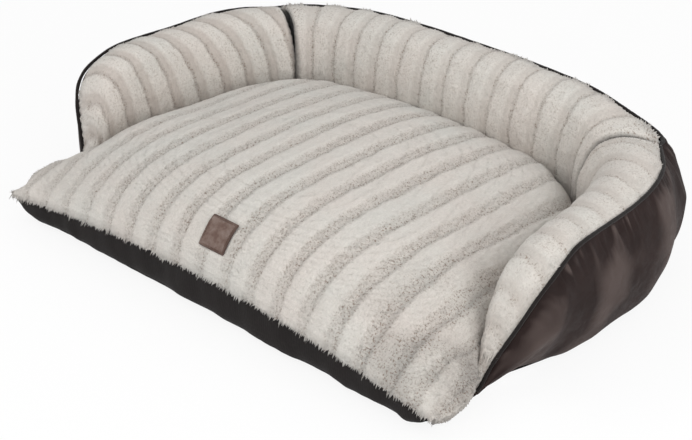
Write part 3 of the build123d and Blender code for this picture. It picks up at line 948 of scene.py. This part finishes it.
def smooth_cover(bolster, part, count, wrinkle):
    """One cover laid from end to end of a bolster, wrinkled, with its ends turned in."""
    sections, rows = [], []
    for section in bolster.sections:
        row = bolster.run(section, part, count)
        if row and part == "outer_panel":
            under_piping = (row[0] - row[1]).normalized() * under_along
            under_piping += (section["centre"] - row[0]).normalized() * under_in
            row = [row[0] + under_piping] + row
        if row:
            sections.append(section)
            rows.append(row)
    rows = eased(rows, cover_easing)
    for end, near in ((0, 1), (-1, -2)):
        centre = sections[end]["centre"]
        onwards = (centre - sections[near]["centre"]).normalized()
        lip = [
            place + onwards * lip_out + (centre - place).normalized() * lip_in
            for place in rows[end]
        ]
        rows = [lip] + rows if end == 0 else rows + [lip]
    runs = crest_runs(rows)
    halfway = rows[len(rows) // 2]
    downs = running_lengths(halfway)
    bm = sheet_of(rows)
    fold = bm.verts.layers.float.new("fold")
    row_layer, column_layer = bm.verts.layers.int["row"], bm.verts.layers.int["column"]
    bm.normal_update()
    centre = sections[len(sections) // 2]["centre"]
    spot = halfway[count // 2]
    middle = min(bm.faces, key=lambda face: (face.calc_center_median() - spot).length)
    if middle.normal.dot(middle.calc_center_median() - centre) < 0:
        bmesh.ops.reverse_faces(bm, faces=bm.faces)
        bm.normal_update()
    moves = []
    for vert in bm.verts:
        run, down = runs[vert[row_layer]], downs[vert[column_layer]]
        moves.append((vert, wrinkle(vert.co, run, down, downs[-1])))
    for vert, move in moves:
        vert[fold] = 0.5 + move / fold_range
        vert.co += vert.normal * move
    return bm


def dressed(bm, name, node, material):
    """Gives a cover its wall and puts it in place of its CAD node."""
    piece = finished(name, bm, [material])
    solid = piece.modifiers.new("wall", "SOLIDIFY")
    solid.thickness = cover_wall
    solid.offset = -1.0
    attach(piece, "bed")
    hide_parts(node)


def gathers(_place, run, down, whole):
    """Small gathers that run down from the piping, and soft dents below them."""
    down, whole = max(0.0, down - piping_cover), whole - piping_cover
    shear = run + 0.35 * down
    folds = noise.noise(Vector((shear * 85.0, down * 12.0, 0.0)))
    folds += 0.6 * noise.noise(Vector((shear * 170.0, down * 26.0, 5.0)))
    patchy = 0.25 + 0.75 * smoothstep(-0.15, 0.35, noise.noise(Vector((run * 9.0, 3.0, 1.0))))
    puckers = 0.0085 * folds * patchy * exp(-(down / 0.036) ** 2) * smoothstep(0.0, 0.005, down)
    slack = 0.0012 + 0.0036 * noise.noise(Vector((run * 12.0, down * 8.0, 9.0)))
    slack *= smoothstep(0.0, 0.04, down)
    creases = 0.0012 * noise.noise(Vector((run * 30.0, down * 22.0, 2.0)))
    creases *= smoothstep(0.0, 0.03, down)
    inward_limit = min(0.0030, 0.18 * down)
    near_foot = smoothstep(0.0, 0.012, whole - down)
    return max(-inward_limit, puckers + slack + creases) * near_foot


def lying_flat(place, *_):
    """Hardly any folds, as on the floor."""
    return 0.0003 * noise.noise(place * 30.0)


def hem_folds(place, run, down, _whole):
    """Slight folds, which the zip holds flat in the middle."""
    held = smoothstep(0.175, 0.21, abs(place.x))
    return 0.0016 * noise.noise(Vector((run * 20.0, down * 12.0, 4.0))) * held


def cut_zip_window(bm):
    """Opens the hem over the zip's tapes, with its edges just over theirs."""
    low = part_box("zip_lower_tape")[0] + Vector((0.0016, 0.0, 0.0018))
    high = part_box("zip_upper_tape")[1] - Vector((0.0016, 0.0, 0.0006))
    for facing in ((1, 0, 0), (0, 0, 1)):
        for spot in (low, high):
            everything = bm.verts[:] + bm.edges[:] + bm.faces[:]
            bmesh.ops.bisect_plane(bm, geom=everything, plane_co=spot, plane_no=facing)
    middles = [(face, face.calc_center_median()) for face in bm.faces]
    inside = [face for face, spot in middles if low.x < spot.x < high.x and low.z < spot.z < high.z]
    bmesh.ops.delete(bm, geom=inside, context="FACES")


rows_down = round(suede_drop / (cell * 1.15))
for prefix, bolster in bolsters.items():
    cover = smooth_cover(bolster, "outer_panel", rows_down, gathers)
    dressed(cover, f"{prefix}_suede", f"{prefix}_outer_panel", suede)
    cover = smooth_cover(bolster, "base", base_columns, lying_flat)
    dressed(cover, f"{prefix}_underside", f"{prefix}_base", base_cloth)
cover = smooth_cover(bolsters["back"], "hem_panel", hem_columns, hem_folds)
cut_zip_window(cover)
dressed(cover, "back_hem", "back_hem_panel", suede)


def cushion_underside():
    """Dark base of the cushion, with slight folds along its front band."""
    keys = ("seat_top_panel", "seat_base_panel", "seat_filling")
    skins = {key: skin_of(key) for key in keys}
    bm = evenly_meshed(welded(*keys), underside_cell)
    largest_shell(bm)
    bm.normal_update()
    own, moves = {}, []
    for vert in bm.verts:
        gaps = {key: tree.find_nearest(vert.co) for key, tree in skins.items()}
        nearest = min(gaps, key=lambda key: gaps[key][3])
        own[vert] = nearest == "seat_base_panel"
        place = gaps[nearest][0]
        fold = noise.noise(Vector((place.x * 17.0, place.y * 17.0, place.z * 4.0)))
        crease = noise.noise(Vector((place.x * 42.0, place.y * 42.0, place.z * 14.0 + 4.0)))
        depth = (0.0060 * fold + 0.0022 * crease - 0.0026) * smoothstep(0.0, 0.012, place.z)
        moves.append((vert, place + vert.normal * (depth if own[vert] else -0.0025)))
    for vert, place in moves:
        vert.co = place
    spare = [face for face in bm.faces if not any(own[vert] for vert in face.verts)]
    bmesh.ops.delete(bm, geom=spare, context="FACES")
    dressed(bm, "seat_base_cloth", "seat_base_panel", base_cloth)


cushion_underside()


# Trim: piping, leather patch and zip tapes

cord_cell, patch_cell = 0.0014, 0.0007


def covered_cord(name, node):
    """Round piping with a slightly bunched, diagonally laid cover."""
    bm = evenly_meshed(welded(node), cord_cell)
    bm.normal_update()
    moves = []
    for vert in bm.verts:
        place = vert.co
        lay = sin((place.x + place.y * 0.8 + place.z * 1.7) * 1500.0)
        bunch = noise.noise(place * 55.0)
        moves.append((vert, vert.normal * (0.00012 * lay + 0.00045 * bunch)))
    for vert, move in moves:
        vert.co += move
    piece = finished(name, bm, [piping_cloth])
    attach(piece, "bed")
    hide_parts(node)


for prefix in bolsters:
    covered_cord(f"{prefix}_cord", f"{prefix}_piping")


def patch_frame():
    """Middle, upward run and outward direction of the leather patch, from its CAD node."""
    band = 0.008
    places = [vert.co for vert in nodes["label_patch"].data.vertices]
    upper = [place for place in places if place.z > patch_high.z - band]
    lower = [place for place in places if place.z < patch_low.z + band]
    rise = (sum(upper, Vector()) / len(upper) - sum(lower, Vector()) / len(lower)).normalized()
    return sum(places, Vector()) / len(places), rise, Vector((1, 0, 0)).cross(rise).normalized()


def leather_patch():
    """The patch, with a sewn groove, darker edges, a slightly uneven face and lifted corners."""
    half_side, groove_in, groove_width = 0.025, 0.0032, 0.0007
    middle, rise, out = patch_frame()
    bm = evenly_meshed(welded("label_patch"), patch_cell)
    bm.normal_update()
    edge = bm.verts.layers.float.new("edge")
    moves = []
    for vert in bm.verts:
        offset = vert.co - middle
        across, upwards = offset.x, offset.dot(rise)
        border = half_side - max(abs(across), abs(upwards))
        nearness = 1 - smoothstep(0.0006, 0.0034, border + 0.0010 * noise.noise(vert.co * 160.0))
        vert[edge] = nearness
        facing = max(0.0, vert.normal.dot(out))
        groove = exp(-((border - groove_in) / groove_width) ** 2)
        dish = 0.0004 * noise.noise(vert.co * 70.0) + 0.00012 * noise.noise(vert.co * 420.0)
        curl = 0.0009 * smoothstep(0.019, 0.030, hypot(across, upwards))
        moves.append((vert, out * facing * (dish - 0.0005 * groove - 0.0003 * nearness + curl)))
    for vert, move in moves:
        vert.co += move
    piece = finished("leather_patch", bm, [leather])
    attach(piece, "bed")
    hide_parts("label_patch")


leather_patch()


def zip_tape(name, node, edge_side):
    """Woven tape, thicker along the edge that carries the teeth."""
    low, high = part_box(node)
    bm = bmesh.new()
    bmesh.ops.create_cube(bm, size=1.0)
    bmesh.ops.scale(bm, vec=high - low, verts=bm.verts)
    bmesh.ops.translate(bm, vec=(low + high) / 2, verts=bm.verts)
    for axis, shortest, cuts in (("x", 0.1, 180), ("z", 0.005, 8)):
        spans = [(edge, edge.verts[0].co - edge.verts[1].co) for edge in bm.edges]
        edges = [edge for edge, span in spans if abs(getattr(span, axis)) > shortest]
        bmesh.ops.subdivide_edges(bm, edges=edges, cuts=cuts, use_grid_fill=True)
    middle_z = (low.z + high.z) / 2
    for vert in bm.verts:
        if vert.co.y > high.y - 0.0002:
            from_middle = vert.co.z - middle_z
            wave = 0.00016 * sin(vert.co.x * 1570.0 + from_middle * 900.0)
            vert.co.y += wave - 0.00035 * smoothstep(0.003, 0.006, edge_side * from_middle)
    bmesh.ops.recalc_face_normals(bm, faces=bm.faces)
    piece = finished(name, bm, [tape_cloth])
    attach(piece, "bed")
    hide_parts(node)


zip_tape("zip_tape_above", "zip_upper_tape", 1)
zip_tape("zip_tape_below", "zip_lower_tape", -1)


# CAD nodes that keep their shape

for name, material in (
    ("patch_stitching", thread), ("zip_teeth", teeth_nylon),
    ("zip_left_stop", slider_metal), ("zip_right_stop", slider_metal),
    ("zip_slider", slider_metal), ("zip_pull", slider_metal),
):
    nodes[name].data.materials.clear()
    nodes[name].data.materials.append(material)
